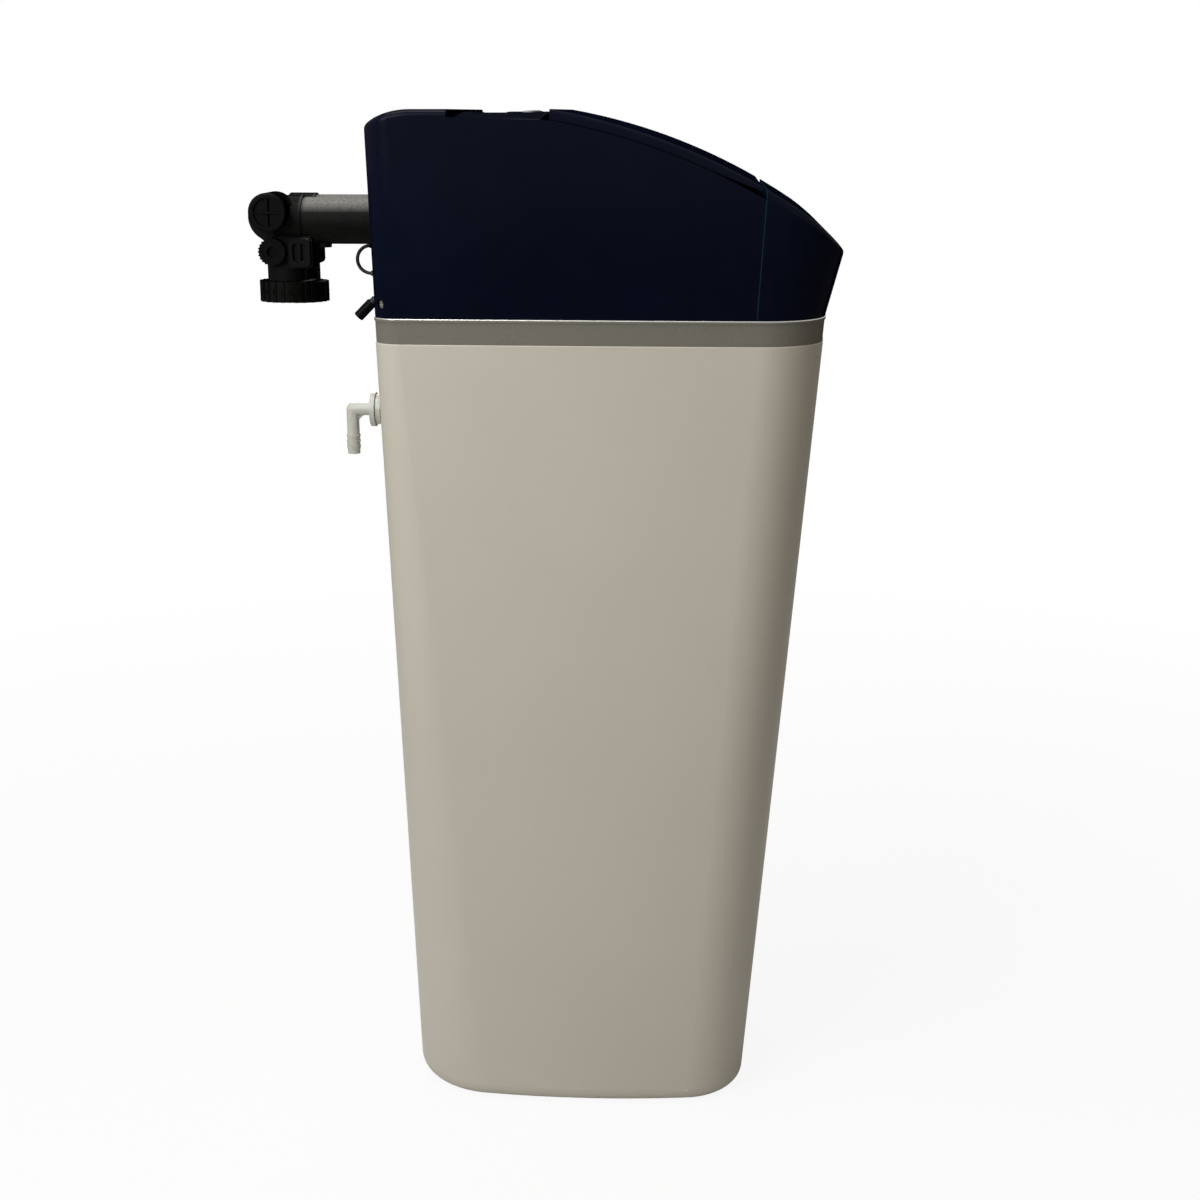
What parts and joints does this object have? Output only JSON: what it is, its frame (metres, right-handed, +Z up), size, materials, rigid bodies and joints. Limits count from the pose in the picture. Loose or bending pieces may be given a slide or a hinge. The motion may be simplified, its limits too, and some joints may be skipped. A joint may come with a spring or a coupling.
{
  "type": "water softener",
  "caption": "Cabinet water softener with a hinged salt lid, inner resin tank and valve, and a push-pull bypass valve at the back.",
  "frame": {"origin": "on the flat base, under the middle of the width; the tank stands behind it", "axes": "+Z up; the front faces -Y, the pipes leave at +Y, and the brine well and overflow elbow are on the -X side"},
  "size_m": [0.3262, 0.6553, 1.1393],
  "materials": {
    "cabinet_plastic": "satin warm grey",
    "trim_metallic": "metallic silver-taupe coat",
    "cover_gloss": "gloss, very dark navy",
    "pin_steel": "drawn",
    "screw_chrome": "plated",
    "panel_plastic": "satin black",
    "lens_clear": "clear, tinted",
    "display_dark": "flat",
    "board_green": "coated board",
    "button_grey": "satin",
    "tank_fibre": "wound fibre, coated",
    "boot_plastic": "moulded",
    "resin_amber": "beads",
    "white_plastic": "moulded",
    "valve_plastic": "glass-filled, moulded",
    "gear_white": "moulded",
    "gear_brass": "cut",
    "motor_steel": "plated",
    "pipe_plastic": "glass-filled, grained",
    "knob_plastic": "smooth satin",
    "cable_black": "smooth",
    "washer_rubber": "flat",
    "contact_brass": "plated",
    "grommet_white": "moulded white",
    "well_plastic": "drawn tube",
    "brine_tube_clear": "soft tube",
    "chute_plastic": "moulded"
  },
  "bodies": {
    "housing": {"cabinet": "cabinet_plastic", "trim_band": "trim_metallic", "top_cover": "cover_gloss", "front_cover": "cover_gloss", "lid_hinge_pins": "pin_steel", "cover_screws": "screw_chrome", "panel_fascia": "panel_plastic", "display_lens": "lens_clear", "display_module": "display_dark", "control_board": "board_green", "resin_tank": "tank_fibre", "tank_boot": "boot_plastic", "resin_bed": "resin_amber", "riser_tube": "white_plastic", "lower_basket": "white_plastic", "upper_basket": "white_plastic", "valve_body": "valve_plastic", "valve_cap": "valve_plastic", "injector_cap": "valve_plastic", "drain_elbow": "valve_plastic", "drive_motor": "motor_steel", "drive_bracket": "valve_plastic", "inlet_tube": "pipe_plastic", "meter_housing": "pipe_plastic", "turbine_cage": "white_plastic", "meter_sensor": "pipe_plastic", "meter_cable": "cable_black", "cable_relief": "cable_black", "bypass_body": "pipe_plastic", "port_washers": "washer_rubber", "left_sample_plug": "knob_plastic", "right_sample_plug": "knob_plastic", "left_port_clip": "pipe_plastic", "right_port_clip": "pipe_plastic", "dc_strain_relief": "cable_black", "dc_socket": "knob_plastic", "dc_contacts": "contact_brass", "overflow_grommet": "grommet_white", "brine_well": "well_plastic", "well_cap": "well_plastic", "brine_tube": "brine_tube_clear", "safety_valve": "well_plastic", "salt_grid": "well_plastic", "salt_chute": "chute_plastic"},
    "lid": {"salt_lid": "cover_gloss"},
    "menu_key": {"menu_button": "button_grey"},
    "down_key": {"down_button": "button_grey"},
    "up_key": {"up_button": "button_grey"},
    "set_key": {"set_button": "button_grey"},
    "gear": {"drive_gear": "gear_white"},
    "pinion": {"motor_pinion": "gear_brass"},
    "piston": {"valve_piston": "white_plastic"},
    "meter_wheel": {"turbine": "white_plastic"},
    "plunger": {"bypass_plunger": "knob_plastic"},
    "left_nut": {"left_union_nut": "pipe_plastic"},
    "right_nut": {"right_union_nut": "pipe_plastic"},
    "overflow": {"overflow_elbow": "grommet_white", "overflow_nut": "grommet_white"},
    "float": {"float_rod": "white_plastic"}
  },
  "joints": [
    {"name": "lid_hinge", "type": "hinge", "parent": "housing", "child": "lid", "pos_m": [0, 0.053, 1.132], "axis": [-1, 0, 0], "range_deg": [0, 95]},
    {"name": "menu_press", "type": "slide", "parent": "housing", "child": "menu_key", "axis": [0, 0, -1], "range_m": [0, 0.0012], "stiffness_N_per_m": 400},
    {"name": "down_press", "type": "slide", "parent": "housing", "child": "down_key", "axis": [0, 0, -1], "range_m": [0, 0.0012], "stiffness_N_per_m": 400},
    {"name": "up_press", "type": "slide", "parent": "housing", "child": "up_key", "axis": [0, 0, -1], "range_m": [0, 0.0012], "stiffness_N_per_m": 400},
    {"name": "set_press", "type": "slide", "parent": "housing", "child": "set_key", "axis": [0, 0, -1], "range_m": [0, 0.0012], "stiffness_N_per_m": 400},
    {"name": "gear_turn", "type": "hinge", "parent": "housing", "child": "gear", "pos_m": [0, 0.025, 0.968], "axis": [0, 1, 0], "range_deg": [0, 345]},
    {"name": "pinion_turn", "type": "hinge", "parent": "housing", "child": "pinion", "pos_m": [0, 0.025, 0.998], "axis": [0, 1, 0], "continuous": true},
    {"name": "piston_slide", "type": "slide", "parent": "housing", "child": "piston", "axis": [0, -1, 0], "range_m": [0, 0.0115]},
    {"name": "turbine_spin", "type": "hinge", "parent": "housing", "child": "meter_wheel", "pos_m": [-0.034, 0.27, 1.0197], "axis": [0, 1, 0], "continuous": true},
    {"name": "bypass_slide", "type": "slide", "parent": "housing", "child": "plunger", "axis": [-1, 0, 0], "range_m": [0, 0.022]},
    {"name": "left_nut_turn", "type": "hinge", "parent": "housing", "child": "left_nut", "pos_m": [-0.034, 0.361, 0.943], "axis": [0, 0, 1], "continuous": true},
    {"name": "right_nut_turn", "type": "hinge", "parent": "housing", "child": "right_nut", "pos_m": [0.034, 0.361, 0.936], "axis": [0, 0, 1], "continuous": true},
    {"name": "overflow_swivel", "type": "hinge", "parent": "housing", "child": "overflow", "pos_m": [-0.105, 0.26, 0.8198], "axis": [0, 1, 0], "range_deg": [-90, 90]},
    {"name": "float_rise", "type": "slide", "parent": "housing", "child": "float", "axis": [0, 0, 1], "range_m": [0, 0.045]}
  ],
  "couplings": [
    {"joint": "pinion_turn", "follows": "gear_turn", "ratio": -4},
    {"joint": "piston_slide", "follows": "gear_turn", "m_per_rad": 0.0019098}
  ]
}
